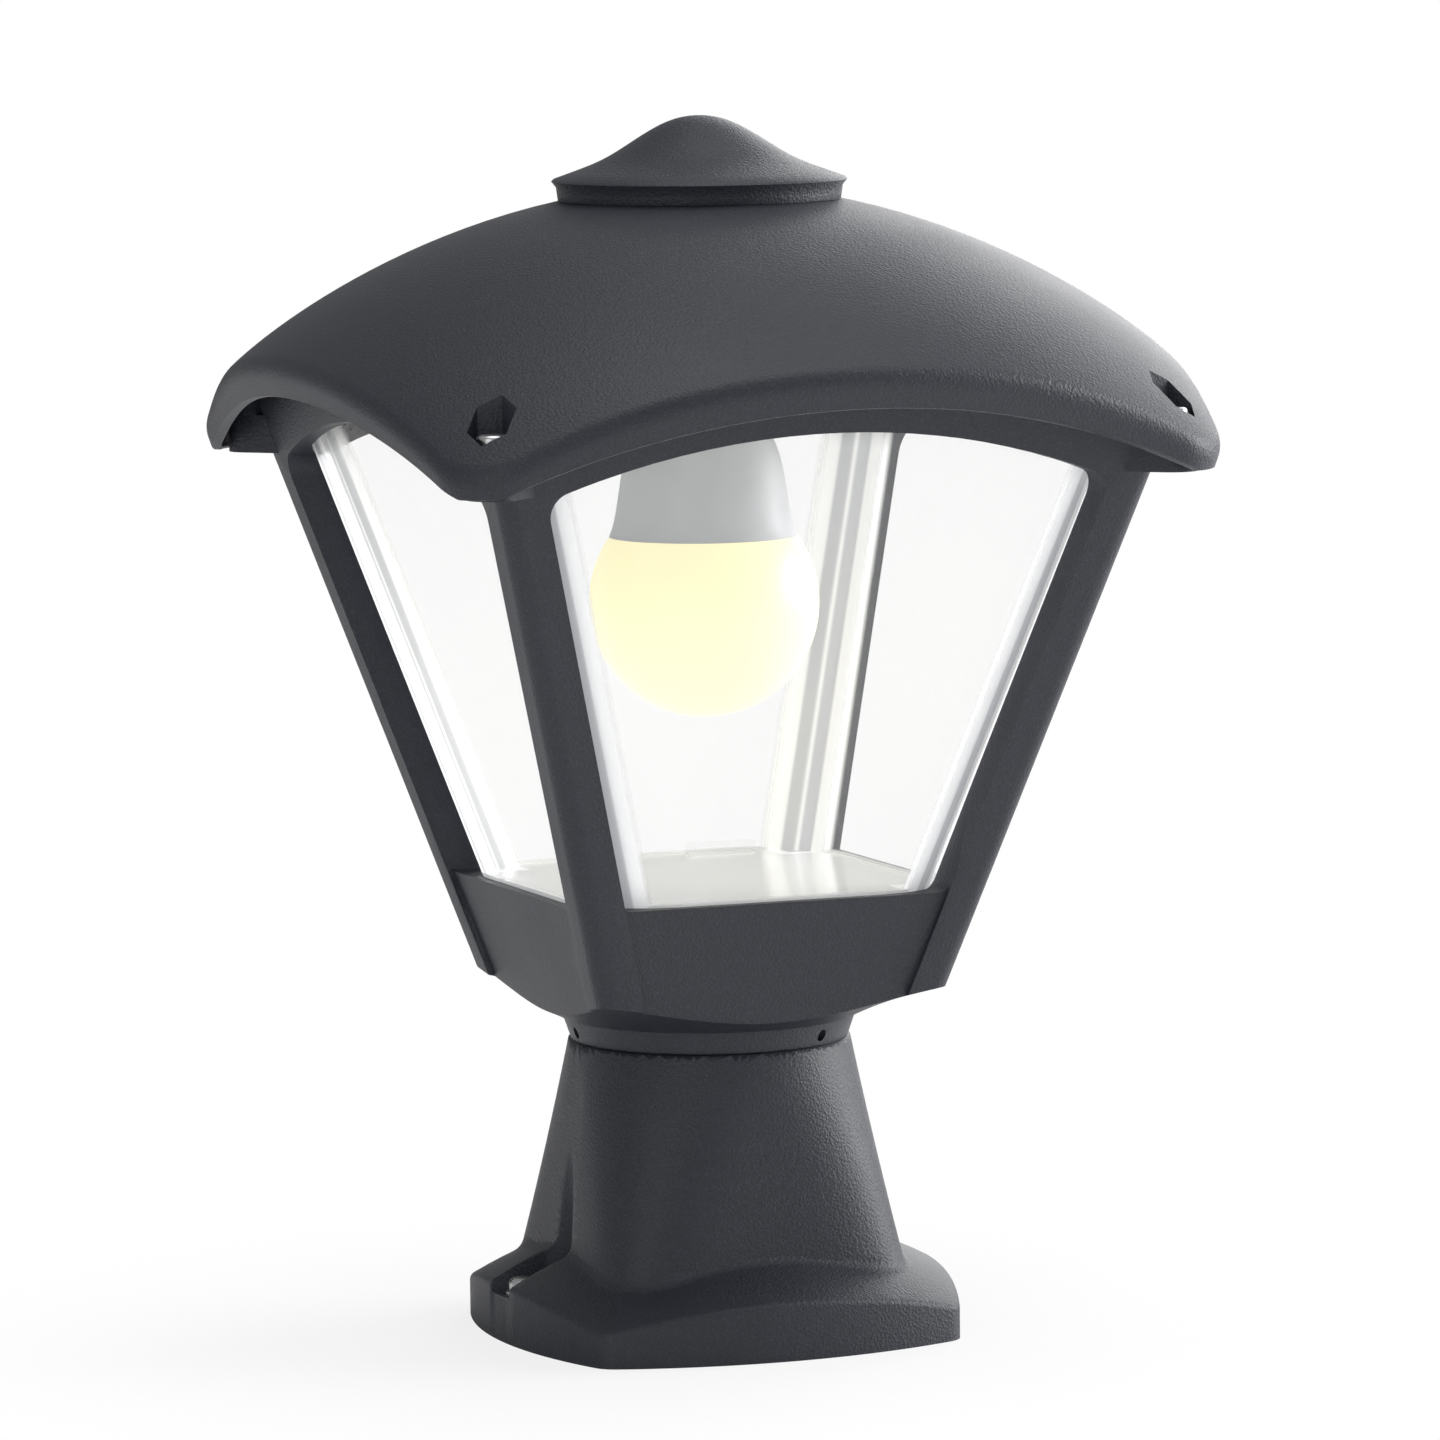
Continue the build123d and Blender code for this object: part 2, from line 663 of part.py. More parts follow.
def make_ground_washer(x):
    return tube(4.5, 2.15, fixing_floor_z, fixing_floor_z + washer_thickness, x)


def make_finial_stud():
    return cylinder(stud_radius, crown_boss_z - 6, finial_top_z - 2 * finial_wall - 4.2)


def make_finial_nut():
    nut = extrude(RegularPolygon(4.6, 6), 4) - cylinder(stud_radius + plug_gap, -1, 5)
    return Pos(0, 0, crown_boss_z - 5.1) * nut


def make_finial_washer():
    return tube(6.5, stud_radius + 0.2, crown_boss_z - 1.05, crown_boss_z - 0.05)


# ---- the pieces, one file each -------------------------------------------------------
ears = [(x, y) for x, y, angle in at_corners(well_pitch_radius)]
pillars = [(x, y) for x, y, angle in at_corners(pillar_offset * sqrt(2))]
terminals = [(terminal_x(way), y) for way in range(terminal_ways) for y in terminal_rows]
fixings = (-fixing_x, fixing_x)

# fixed foot
save(make_pedestal(), "pedestal")
save(group([make_ground_screw(x) for x in fixings]), "ground_screws")
save(group([make_ground_washer(x) for x in fixings]), "ground_washers")
save(make_gland_body(), "cable_gland")
save(make_gland_nut(), "gland_nut")
save(make_gland_seal(), "gland_seal")
save(make_neck_seal(), "neck_seal")

# turning head
save(make_head(), "lantern_frame")
save(group([make_set_screw(angle) for angle in set_screw_angles]), "neck_set_screws")
save(make_cup(), "diffuser_cup")
save(group([make_ear_insert(x, y) for x, y in ears]), "ear_inserts")
save(make_terminal_block(), "terminal_block")
save(group([make_terminal_screw(x, y) for x, y in terminals]), "terminal_screws")

# lift-off hood
save(make_hood(), "hood")
save(make_finial(), "finial_cap")
save(make_finial_stud(), "finial_stud")
save(make_finial_nut(), "finial_nut")
save(make_finial_washer(), "finial_washer")
save(group([make_hood_screw(x, y) for x, y in ears]), "hood_screws")
save(group([make_hood_screw_washer(x, y) for x, y in ears]), "hood_screw_washers")
save(make_tray(), "gear_tray")
save(group([make_tray_screw(x, y) for x, y in pillars]), "tray_screws")
save(make_tray_seal(), "tray_seal")
save(make_holder_body(), "lampholder_body")
save(make_holder_ring(), "lampholder_ring")
save(make_holder_sleeve(), "lampholder_sleeve")
save(make_holder_contact(), "lampholder_contact")

# lamp
save(make_globe(), "lamp_globe")
save(make_lamp_housing(), "lamp_housing")
save(make_led_board(), "lamp_led_board")
save(cylinder(cap_radius, cap_low_z + plug_gap, cap_high_z), "lamp_cap")
save(make_lamp_insulator(), "lamp_insulator")
save(cylinder(tip_radius, tip_top_z - 1.18, tip_top_z), "lamp_tip_contact")
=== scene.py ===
import json

import bmesh
import bpy
import numpy as np
from mathutils import Matrix, Vector


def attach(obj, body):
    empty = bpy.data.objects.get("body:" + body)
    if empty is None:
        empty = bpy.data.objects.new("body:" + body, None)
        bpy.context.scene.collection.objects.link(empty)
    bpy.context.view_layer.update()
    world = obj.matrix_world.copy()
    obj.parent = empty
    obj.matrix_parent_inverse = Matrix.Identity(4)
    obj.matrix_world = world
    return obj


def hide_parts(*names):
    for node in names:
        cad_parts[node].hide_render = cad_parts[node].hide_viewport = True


bl_info = {
    "name": "Pedestal Garden Lantern",
    "version": (1, 0, 0),
    "blender": (4, 5, 0),
    "location": "3D View > Sidebar > Lantern",
    "description": "Builds the looks of a pedestal garden lantern around its packed parts",
    "category": "Object",
}

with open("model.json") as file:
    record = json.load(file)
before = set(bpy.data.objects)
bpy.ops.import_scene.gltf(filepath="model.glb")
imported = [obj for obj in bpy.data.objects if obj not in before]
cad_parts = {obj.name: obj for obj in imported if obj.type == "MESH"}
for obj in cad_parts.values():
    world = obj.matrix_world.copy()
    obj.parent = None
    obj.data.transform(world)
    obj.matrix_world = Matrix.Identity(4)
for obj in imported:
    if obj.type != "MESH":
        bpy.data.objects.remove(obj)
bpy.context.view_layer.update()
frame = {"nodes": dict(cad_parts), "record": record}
NODES = frame["nodes"]
MM = 0.001


# ---- sizes and colours a user may change ---------------------------------------------
class LanternColours(bpy.types.PropertyGroup):
    """Colours of the lantern's finishes."""

    body: bpy.props.FloatVectorProperty(
        name="Body", description="Grained moulding of foot, head and hood", subtype="COLOR",
        size=3, default=(0.018, 0.0205, 0.029), min=0, max=1)
    globe: bpy.props.FloatVectorProperty(
        name="Lamp globe", description="Opal diffuser of the lamp", subtype="COLOR",
        size=3, default=(0.72, 0.67, 0.42), min=0, max=1)
    glow: bpy.props.FloatVectorProperty(
        name="Lamp glow", description="Light that the lamp's globe gives", subtype="COLOR",
        size=3, default=(1.0, 0.93, 0.58), min=0, max=1)
    housing: bpy.props.FloatVectorProperty(
        name="Lamp housing", description="Heat sink cone of the lamp", subtype="COLOR",
        size=3, default=(0.62, 0.63, 0.65), min=0, max=1)
    floor: bpy.props.FloatVectorProperty(
        name="Floor", description="Plain floor under the lantern", subtype="COLOR",
        size=3, default=(0.92, 0.92, 0.92), min=0, max=1)


class LanternSizes(bpy.types.PropertyGroup):
    """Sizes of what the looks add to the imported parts."""

    arris: bpy.props.FloatProperty(
        name="Hood arris", description="Rounding between the dome and the fascia",
        default=3.8 * MM, min=0.5 * MM, max=8 * MM, unit="LENGTH")
    grain: bpy.props.FloatProperty(
        name="Grain", description="Spacing of the moulded grain", default=0.75 * MM,
        min=0.1 * MM, max=3 * MM, unit="LENGTH")
    camera_distance: bpy.props.FloatProperty(
        name="Camera distance", description="Camera to the point it looks at",
        default=2176.2 * MM, min=0.5, max=10, unit="LENGTH")


def colours():
    return bpy.context.scene.lantern_colours


def sizes():
    return bpy.context.scene.lantern_sizes


# ---- shader maths --------------------------------------------------------------------
class Value:
    """One output socket, on which Python's signs add Math nodes."""

    def __init__(self, finish, socket):
        self.finish = finish
        self.socket = socket

    def _math(self, operation, first, second):
        made = self.finish.node("ShaderNodeMath", {"operation": operation}, {0: first, 1: second})
        return made["Value"]

    def __add__(self, other):
        return self._math("ADD", self, other)

    def __radd__(self, other):
        return self._math("ADD", other, self)

    def __sub__(self, other):
        return self._math("SUBTRACT", self, other)

    def __rsub__(self, other):
        return self._math("SUBTRACT", other, self)

    def __mul__(self, other):
        return self._math("MULTIPLY", self, other)

    def __rmul__(self, other):
        return self._math("MULTIPLY", other, self)

    def __abs__(self):
        return self._math("ABSOLUTE", self, 0.0)


class Outputs:
    """The output sockets of one node, by name."""

    def __init__(self, finish, node):
        self.finish = finish
        self.node = node

    def __getitem__(self, name):
        return Value(self.finish, self.node.outputs[name])


class Finish:
    """A material, or a world, under construction."""

    def __init__(self, owner):
        self.owner = owner
        owner.use_nodes = True
        self.tree = owner.node_tree
        self.tree.nodes.clear()

    def node(self, kind, settings=None, sockets=None):
        """Adds a node of that type, its settings first, then its sockets' values or links."""
        made = self.tree.nodes.new(kind)
        for name, setting in (settings or {}).items():
            setattr(made, name, setting)
        for name, given in (sockets or {}).items():
            if isinstance(given, Value):
                self.tree.links.new(given.socket, made.inputs[name])
            else:
                made.inputs[name].default_value = given
        return Outputs(self, made)

    def spot(self):
        """Where on the object the shaded point is, in metres."""
        return self.node("ShaderNodeTexCoord")["Object"]

    def noise(self, scale, detail=2.0, roughness=0.5, where=None):
        return self.node("ShaderNodeTexNoise", None, {
            "Vector": where or self.spot(), "Scale": scale,
            "Detail": detail, "Roughness": roughness})["Fac"]

    def mix(self, factor, first, second):
        """The first colour at 0, the second at 1; colour sockets are the node's 6th and 7th."""
        made = self.node("ShaderNodeMix", {"data_type": "RGBA", "blend_type": "MIX"}).node
        for index, given in ((0, factor), (6, first), (7, second)):
            if isinstance(given, Value):
                self.tree.links.new(given.socket, made.inputs[index])
            elif index:
                made.inputs[index].default_value = (*given, 1.0)
            else:
                made.inputs[index].default_value = given
        return Value(self, made.outputs[2])

    def rise(self, value, low, high):
        """Goes smoothly from 0 to 1 as a value goes from low to high."""
        return self.node("ShaderNodeMapRange", {"interpolation_type": "SMOOTHSTEP"}, {
            "Value": value, "From Min": low, "From Max": high})["Result"]

    def larger(self, first, second):
        return self.node("ShaderNodeMath", {"operation": "MAXIMUM"}, {0: first, 1: second})["Value"]

    def smaller(self, first, second):
        return self.node("ShaderNodeMath", {"operation": "MINIMUM"}, {0: first, 1: second})["Value"]

    def axes(self, where):
        """The three coordinates of a place, apart."""
        split = self.node("ShaderNodeSeparateXYZ", None, {0: where})
        return split["X"], split["Y"], split["Z"]

    def bump(self, height, distance, strength):
        return self.node("ShaderNodeBump", None, {
            "Height": height, "Distance": distance, "Strength": strength})["Normal"]

    def surface(self, **sockets):
        """Ends the material in one Principled shader; names have _ for a space."""
        named = {name.replace("_", " "): given for name, given in sockets.items()}
        shader = self.node("ShaderNodeBsdfPrincipled", None, named)["BSDF"]
        return self.output(shader)

    def output(self, shader):
        self.node("ShaderNodeOutputMaterial", None, {"Surface": shader})
        return self.owner

    def seen_by_eye(self):
        """1 on rays from the camera or through clear plastic, 0 on all others."""
        path = self.node("ShaderNodeLightPath")
        return self.larger(path["Is Camera Ray"], path["Is Transmission Ray"])


def scaled(colour, factor):
    return tuple(min(1.0, channel * factor) for channel in colour)


# ---- finishes ------------------------------------------------------------------------
def anthracite():
    """Moulded plastic: a fine pebble grain, cloudy sheen, and painted glints: pale specks painted into
    the colour where the grain stands high.
    """
    made = Finish(bpy.data.materials.new("anthracite"))
    body = tuple(colours().body)
    spot = made.spot()
    pitch = sizes().grain
    cells = made.node("ShaderNodeTexVoronoi", {"feature": "SMOOTH_F1"}, {
        "Vector": spot, "Scale": 1 / pitch, "Smoothness": 0.6})["Distance"]
    fine = made.noise(1.7 / pitch, 2.0, where=spot)
    cloud = made.noise(28.0, 4.0, 0.6, where=spot)
    flow = made.noise(7.0, 2.0, 0.5, where=spot)
    colour = made.mix(cloud, scaled(body, 0.90), scaled(body, 1.12))
    # painted highlight: where the fine grain stands high, the colour is lightened to stand for light
    # caught on the grain
    painted_glint = made.rise(fine, 0.50, 0.66)
    colour = made.mix(painted_glint * 0.6, colour, scaled(body, 2.1))
    grain = cells * 0.7 + fine * 0.5
    return made.surface(
        Base_Color=colour, Roughness=0.42 + cloud * 0.10 + flow * 0.08,
        Normal=made.bump(grain, 0.20 * MM, 0.9), Specular_IOR_Level=0.5)


def plain(name, colour, roughness, metallic=0.0, scale=120.0):
    """A finish with its own faint mottle and fine unevenness."""
    made = Finish(bpy.data.materials.new(name))
    cloud = made.noise(scale, 3.0)
    fine = made.noise(scale * 12, 2.0)
    return made.surface(
        Base_Color=made.mix(cloud, scaled(colour, 0.9), scaled(colour, 1.06)),
        Roughness=roughness * 0.85 + cloud * (roughness * 0.3), Metallic=metallic,
        Normal=made.bump(fine, 0.02 * MM, 0.5))


# The cup's outer faces lean out as half = CUP_HALF_AT_ZERO + CUP_LEAN * height.
CUP_LEAN = 0.3013
CUP_HALF_AT_ZERO = 15.55 * MM
CUP_CORNER = 24.0 * MM


def clear_cup():
    """Clear moulded plastic: thin walls barely show; the thick corners and the floor are painted pale,
    opaque and glowing as painted light, with a grey streak of painted shade in each corner.
    """
    made = Finish(bpy.data.materials.new("clear_diffuser"))
    spot = made.spot()
    x, y, z = made.axes(spot)
    cloud = made.noise(60.0, 3.0, where=spot)
    half = z * CUP_LEAN + CUP_HALF_AT_ZERO
    into_corner = made.smaller(abs(x), abs(y)) - (half - CUP_CORNER)
    below_rim = 1.0 - made.rise(z, 222.0 * MM, 236.0 * MM) * 0.8
    corner = made.rise(into_corner, 7.0 * MM, 9.5 * MM) * below_rim
    floor = 1.0 - made.rise(z, 118.4 * MM, 119.2 * MM)
    # painted light: the corner bands and the floor are made opaque, so that the painted pale colour
    # shows where light is bent through the thick plastic
    painted_band_opacity = made.larger(corner * 0.85, floor * 0.70)
    # painted shade: a grey streak inside each corner band, mixed into the painted pale colour below
    past_streak = made.rise(into_corner, 14.5 * MM, 15.5 * MM)
    painted_shade_streak = made.rise(into_corner, 11.5 * MM, 12.5 * MM) * (1.0 - past_streak)
    painted_pale_and_shade = made.mix(painted_shade_streak, (0.93, 0.935, 0.94), (0.52, 0.53, 0.55))
    # painted glow: the corners, and the floor more faintly, give off light though they are no lamp
    glow = made.mix(made.larger(corner, floor * 0.45), (0.0, 0.0, 0.0), painted_pale_and_shade)
    return made.surface(
        Base_Color=painted_pale_and_shade, Roughness=0.10 + cloud * 0.03, Alpha=0.05 + painted_band_opacity, IOR=1.45,
        Emission_Color=glow, Emission_Strength=0.38)


def lamp_opal():
    made = Finish(bpy.data.materials.new("lamp_opal"))
    cloud = made.noise(40.0, 3.0)
    globe = tuple(colours().globe)
    return made.surface(
        Base_Color=made.mix(cloud, scaled(globe, 0.97), scaled(globe, 1.03)), Roughness=0.35,
        Emission_Color=(*colours().glow, 1.0), Emission_Strength=0.62)


FINISHES = {}


def make_finishes():
    FINISHES.update({
        "anthracite": anthracite(),
        "clear_diffuser": clear_cup(),
        "lamp_opal": lamp_opal(),
        "lamp_grey": plain("lamp_grey", tuple(colours().housing), 0.45),
        "steel": plain("steel", (0.58, 0.58, 0.59), 0.3, 1.0, 400.0),
        "brass": plain("brass", (0.74, 0.56, 0.26), 0.3, 1.0, 300.0),
        "solder": plain("solder", (0.62, 0.62, 0.60), 0.45, 1.0, 500.0),
        "nickel": plain("nickel", (0.70, 0.69, 0.67), 0.25, 1.0, 300.0),
        "black_nylon": plain("black_nylon", (0.025, 0.025, 0.027), 0.5),
        "rubber": plain("rubber", (0.02, 0.02, 0.02), 0.8),
        "white_plastic": plain("white_plastic", (0.78, 0.78, 0.76), 0.4),
        "black_glass": plain("black_glass", (0.02, 0.02, 0.025), 0.1),
    })


def slot_of(node):
    for entry in frame["record"]["subparts"]:
        if entry["node"] == node:
            return entry["material_slot"]
    raise RuntimeError(f"the record has no slot for {node}")


def dress(node):
    """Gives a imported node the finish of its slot."""
    piece = NODES[node]
    piece.data.materials.clear()
    piece.data.materials.append(FINISHES[slot_of(node)])


# ---- stage ---------------------------------------------------------------------------
CAMERA_AZIMUTH = np.radians(-21.7)
CAMERA_ELEVATION = np.radians(6.176)
CAMERA_ROLL = np.radians(-0.66)
CAMERA_AIM = (3.77 * MM, 159.54 * MM)     # to the right of the lantern's axis, and up
CAMERA_LENS = 208.53
LIGHT_AIM_Z = 0.17
AMBIENT = 0.33
FLOOR_HALF = 6.0
SHADOW_NEAR, SHADOW_FAR = 0.10, 0.24      # the shadow fades out between these distances
NEAR_WHITE = 0.80                         # share of plain white under the lantern
LIGHTS = (
    # name, place in metres, side in metres, watts
    ("key_right", (2.5, -0.25, 0.9), 1.6, 78),
    ("fill_left", (-1.9, -1.9, 0.9), 1.8, 11),
    ("top", (0.1, -0.2, 2.4), 1.8, 22),
    ("back_right", (1.6, 1.8, 1.0), 1.4, 26),
)


def make_camera():
    """Looks at a point beside the axis, from the given azimuth and height, a little rolled."""
    turn, rise, roll = CAMERA_AZIMUTH, CAMERA_ELEVATION, CAMERA_ROLL
    back = Vector((np.sin(turn) * np.cos(rise), -np.cos(turn) * np.cos(rise), np.sin(rise)))
    right = Vector((np.cos(turn), np.sin(turn), 0))
    up = back.cross(right)
    aim = right * CAMERA_AIM[0] + Vector((0, 0, CAMERA_AIM[1]))
    across = right * np.cos(roll) + up * np.sin(roll)
    upward = up * np.cos(roll) - right * np.sin(roll)
    data = bpy.data.cameras.new("camera")
    data.lens = CAMERA_LENS
    data.sensor_width = 36.0
    data.clip_end = 50.0
    camera = bpy.data.objects.new("camera", data)
    turned = Matrix((across, upward, back)).transposed().to_4x4()
    camera.matrix_world = Matrix.Translation(aim + back * sizes().camera_distance) @ turned
    bpy.context.scene.collection.objects.link(camera)
    bpy.context.scene.camera = camera


def make_light(name, place, size, energy):
    """Square soft box that faces the middle of the lantern."""
    data = bpy.data.lights.new(name, "AREA")
    data.shape = "SQUARE"
    data.size = size
    data.energy = energy
    light = bpy.data.objects.new(name, data)
    light.location = place
    aim = Vector((0, 0, LIGHT_AIM_Z)) - Vector(place)
    light.rotation_euler = aim.to_track_quat("-Z", "Y").to_euler()
    bpy.context.scene.collection.objects.link(light)


def make_world():
    """Even white light from all round, dimmer than the plain white that the camera sees."""
    world = bpy.data.worlds.new("studio")
    bpy.context.scene.world = world
    made = Finish(world)
    seen = made.seen_by_eye()
    light, white = (
        made.node("ShaderNodeBackground", None, {"Color": (1, 1, 1, 1), "Strength": strength})
        for strength in (AMBIENT, 1.0))
    mixed = made.node("ShaderNodeMixShader", None, {
        0: seen, 1: light["Background"], 2: white["Background"]})["Shader"]
    made.node("ShaderNodeOutputWorld", None, {"Surface": mixed})


def make_floor():
    """Flat square sheet far wider than the view; it shows white and keeps a soft shadow."""
    mesh = bpy.data.meshes.new("floor")
    corners = [(-FLOOR_HALF, -FLOOR_HALF, 0), (FLOOR_HALF, -FLOOR_HALF, 0),
               (FLOOR_HALF, FLOOR_HALF, 0), (-FLOOR_HALF, FLOOR_HALF, 0)]
    mesh.from_pydata(corners, [], [(0, 1, 2, 3)])
    floor = bpy.data.objects.new("floor", mesh)
    bpy.context.scene.collection.objects.link(floor)
    made = Finish(bpy.data.materials.new("floor"))
    matt = made.node("ShaderNodeBsdfDiffuse", None, {"Color": (*colours().floor, 1.0)})["BSDF"]
    glow = made.node("ShaderNodeEmission", None, {"Color": (1, 1, 1, 1), "Strength": 1.0})["Emission"]
    seen = made.seen_by_eye()
    reach = made.node("ShaderNodeVectorMath", {"operation": "LENGTH"}, {0: made.spot()})["Value"]
    away = made.rise(reach, SHADOW_NEAR, SHADOW_FAR)
    white = seen * (NEAR_WHITE + away * (1 - NEAR_WHITE))
    mixed = made.node("ShaderNodeMixShader", None, {0: white, 1: matt, 2: glow})["Shader"]
    mesh.materials.append(made.output(mixed))


class LANTERN_OT_stage(bpy.types.Operator):
    """Makes the camera, the soft boxes, the world and the floor"""

    bl_idname = "lantern.stage"
    bl_label = "Stage"

    def execute(self, context):
        context.scene.view_settings.view_transform = "Standard"
        make_camera()
        make_world()
        make_floor()
        for light in LIGHTS:
            make_light(*light)
        return {"FINISHED"}


class LANTERN_OT_finishes(bpy.types.Operator):
    """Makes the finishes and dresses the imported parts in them"""

    bl_idname = "lantern.finishes"
    bl_label = "Finishes"

    def execute(self, context):
        make_finishes()
        for node in NODES:
            dress(node)
        return {"FINISHED"}


# ---- hood ----------------------------------------------------------------------------
# Sizes in mm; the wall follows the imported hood.
TIP_RADIUS = 140.6
TIP_Z = 236.3
CROWN_Z = 299.1
BOWL = 0.905
FLAT_SHARE = 0.2
PLAN_Z = 255.0
PLAN_HALF = 117.3
PLAN_BULGE = 7.3
PLAN_CORNER = 15.5
SIDE_LEAN = 0.47
TIP_LEAN = 0.235
ARCH_PEAK = 247.8
ARCH_RADIUS = 238.0
HOOD_LOW = 228.0
HOOD_WALL = 2.8
WELL_PITCH_RADIUS = 130.0
WELL_REACH = 6.2
WELL_WALL = 1.6
WELL_LOW = 237.5
WELL_FLOOR = 240.0
WELL_CUT_TOP = 275.0
WELL_GAP = 0.02           # keeps a sleeve's inside just off the sides that were cut
LIP_ROUNDING = 0.7
LIP_STEP = 0.2
HOOD_COLUMNS = 384
CORNER_CROWDING = 0.14    # columns stand closer together at the hood's corners


def round_max(first, second, radius):
    """The larger of two distances, with the corner between them rounded to a circle's arc."""
    over_first = np.maximum(first + radius, 0)
    over_second = np.maximum(second + radius, 0)
    inside = np.minimum(np.maximum(first, second), -radius)
    return np.hypot(over_first, over_second) + inside


def plan_distance(x, y, z, inset):
    """How far a point stands outside the hood's bulged square plan at its height."""
    rise = z - PLAN_Z
    half = PLAN_HALF + SIDE_LEAN * rise - inset
    chord = PLAN_HALF - PLAN_BULGE + TIP_LEAN * rise - inset
    bulge = half - chord
    curve = (chord**2 + bulge**2) / (2 * bulge)
    along_x = np.hypot(np.abs(x) + curve - half, y) - curve
    along_y = np.hypot(x, np.abs(y) + curve - half) - curve
    return round_max(along_x, along_y, PLAN_CORNER - inset)


def halved(low, high, is_outside):
    """Finds, for a whole array, where a test turns true between low and high."""
    for _ in range(30):
        middle = (low + high) / 2
        outside = is_outside(middle)
        high = np.where(outside, middle, high)
        low = np.where(outside, low, middle)
    return (low + high) / 2


def plan_reach(angle, z, inset):
    """Distance from the axis to the plan's edge, found by halving along each direction."""
    shape = np.broadcast(angle, z).shape

    def is_outside(reach):
        return plan_distance(reach * np.cos(angle), reach * np.sin(angle), z, inset) > 0

    return halved(np.full(shape, 90.0), np.full(shape, 160.0), is_outside)


def dome_point(share, angle, inset):
    """Reach and height of the dome: superellipse levels on a bowl that turns down at its rim."""
    power = 2 + 0.1 * share**2 + 1.5 * np.minimum(share, 1) ** 24
    span = (np.abs(np.cos(angle)) ** power + np.abs(np.sin(angle)) ** power) ** (1 / power)
    reach = (TIP_RADIUS - inset) * share / 2 ** (0.5 - 1 / power) / span
    flat = np.maximum(share, FLAT_SHARE)
    crown = CROWN_Z - inset
    height = crown - (crown - TIP_Z) * (BOWL * flat**2 + (1 - BOWL) * flat**8)
    return reach, height


def edge_share(angle, inset):
    """Share of the reach at which the dome meets the plan's side, found by halving."""
    def is_outside(share):
        reach, height = dome_point(share, angle, inset)
        return plan_distance(reach * np.cos(angle), reach * np.sin(angle), height, inset) > 0

    return halved(np.full(angle.shape, 0.5), np.full(angle.shape, 1.1), is_outside)


def arch_height(reach, angle):
    """Height of the arched lower edge where the fascia stands."""
    offset = np.minimum(np.abs(reach * np.cos(angle)), np.abs(reach * np.sin(angle)))
    arc = ARCH_PEAK - ARCH_RADIUS + np.sqrt(ARCH_RADIUS**2 - offset**2)
    return np.maximum(arc, HOOD_LOW)


def step_back(share, angle, inset, length):
    """Share at which the dome is that length, along its slope, short of a given share."""
    reach, height = dome_point(share, angle, inset)

    def is_near(middle):
        near_reach, near_height = dome_point(middle, angle, inset)
        return np.hypot(reach - near_reach, height - near_height) < length

    return halved(share - 0.12, share.copy(), is_near)


def bent(first, corner, last, steps, weight=0.8):
    """Points of a rational curve from first to last that bends towards the corner between."""
    t = np.linspace(0, 1, steps)[:, None]
    a, b, c = (1 - t) ** 2, 2 * weight * t * (1 - t), t**2
    total = a + b + c
    return [(a * p + b * q + c * r) / total for p, q, r in zip(first, corner, last)]


def skin_profile(angle, inset, arris, low):
    """Reach and height down one wall: dome, rounded arris, leaning fascia to that height."""
    edge = edge_share(angle, inset)
    start = step_back(edge, angle, inset, arris)
    shares = start * np.sin(np.linspace(0.03, 1, 30)[:, None] * np.pi / 2) ** 0.9
    dome_reach, dome_height = dome_point(shares, angle, inset)
    corner = dome_point(edge, angle, inset)
    below = corner[1] - arris
    side = (plan_reach(angle, below, inset), below)
    arc_reach, arc_height = bent((dome_reach[-1], dome_height[-1]), corner, side, 9)
    levels = below + (low - below) * np.linspace(0, 1, 6)[1:, None]
    side_reach = plan_reach(angle, levels, inset)
    return (np.vstack((dome_reach, arc_reach[1:], side_reach)),
            np.vstack((dome_height, arc_height[1:], levels)))


def hood_grid(columns, arris):
    """Closed hood wall in mm: each column runs down the outside, round the lip and back up."""
    turn = np.linspace(0, 2 * np.pi, columns, endpoint=False)
    angle = (turn + CORNER_CROWDING * np.sin(4 * turn))[None, :]
    lip = LIP_ROUNDING
    guess = plan_reach(angle, np.full(angle.shape, 238.0), 0)
    for _ in range(4):
        low = arch_height(guess, angle)
        guess = plan_reach(angle, low, 0)
    outer = skin_profile(angle, 0.0, arris, low + lip)
    inner = skin_profile(angle, HOOD_WALL, arris * 0.5, low + lip)
    outside, inside = outer[0][-1:], inner[0][-1:]
    lip_reach = [outside - LIP_STEP, outside - lip, inside + lip, inside + LIP_STEP]
    lip_height = [low + LIP_STEP, low, low, low + LIP_STEP]
    reach = np.vstack((outer[0], *lip_reach, inner[0][::-1]))
    height = np.vstack((outer[1], *lip_height, inner[1][::-1]))
    return np.stack((reach * np.cos(angle), reach * np.sin(angle), height), axis=-1)


def rings_to_faces(rows, columns):
    """Faces of rings stacked row on row, with a fan at each end round its own pole."""
    ring = np.arange(columns)
    after = (ring + 1) % columns
    base = np.arange(rows - 1)[:, None] * columns
    quads = np.stack((base + ring, base + columns + ring, base + columns + after, base + after), axis=-1)
    first_pole, last_pole = rows * columns, rows * columns + 1
    last = (rows - 1) * columns
    fans = [(first_pole, int(a), int(b)) for a, b in zip(ring, after)]
    fans += [(last_pole, last + int(b), last + int(a)) for a, b in zip(ring, after)]
    return quads.reshape(-1, 4).tolist() + fans


def rings_to_mesh(name, grid):
    """Mesh of a stack of closed rings in mm, its two ends closed at poles on the axis."""
    rows, columns = grid.shape[:2]
    poles = np.array([grid[0].mean(0), grid[-1].mean(0)])
    points = np.vstack((grid.reshape(-1, 3), poles)) * MM
    mesh = bpy.data.meshes.new(name)
    mesh.from_pydata(points, [], rings_to_faces(rows, columns))
    mesh.validate()
    return mesh


def hexagon(reach, x, y, turn):
    angles = turn + np.arange(6) * np.pi / 3
    return np.stack((x + reach * np.cos(angles), y + reach * np.sin(angles)), axis=-1)


